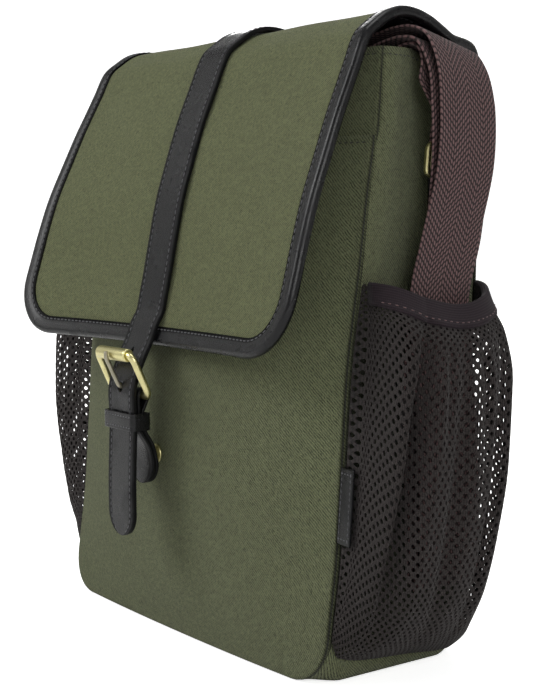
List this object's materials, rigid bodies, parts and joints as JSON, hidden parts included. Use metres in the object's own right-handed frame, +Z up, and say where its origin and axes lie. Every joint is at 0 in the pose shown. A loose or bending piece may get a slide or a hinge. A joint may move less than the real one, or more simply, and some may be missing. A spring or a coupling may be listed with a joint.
{
  "type": "training bag",
  "caption": "Upright canvas field bag with a leather-bound flap held by a strap and roller buckle, a bulging net pocket on each side and a webbing shoulder strap tucked under the flap.",
  "frame": {"origin": "centre of the flat base", "axes": "+Z up, the front with its buckle faces -Y, +X is the side where the shoulder strap hangs in the net pocket"},
  "size_m": [0.3424, 0.1529, 0.3214],
  "materials": {
    "canvas": "matt olive twill canvas",
    "leather": "satin black leather",
    "net": "matt dark brown-black net",
    "elastic": "matt ribbed plum-black elastic",
    "webbing": "plum-brown herringbone webbing",
    "brass": "satin pale gold"
  },
  "bodies": {
    "root": {"front_pocket": "canvas", "front_panel": "canvas", "back_panel": "canvas", "side_wall": "canvas", "label_tab": "leather", "flap": "canvas", "flap_binding": "leather", "front_strap": "leather", "buckle_frame": "brass", "buckle_roller": "brass", "buckle_prong": "brass", "strap_keeper": "leather", "snap_tab": "leather", "snap_socket": "brass", "snap_stud": "brass", "side_pocket_right": "net", "pocket_binding_right": "elastic", "side_pocket_left": "net", "pocket_binding_left": "elastic", "ring_tab_right": "leather", "ring_right": "brass", "ring_tab_left": "leather", "ring_left": "brass", "shoulder_strap": "webbing"}
  },
  "joints": []
}
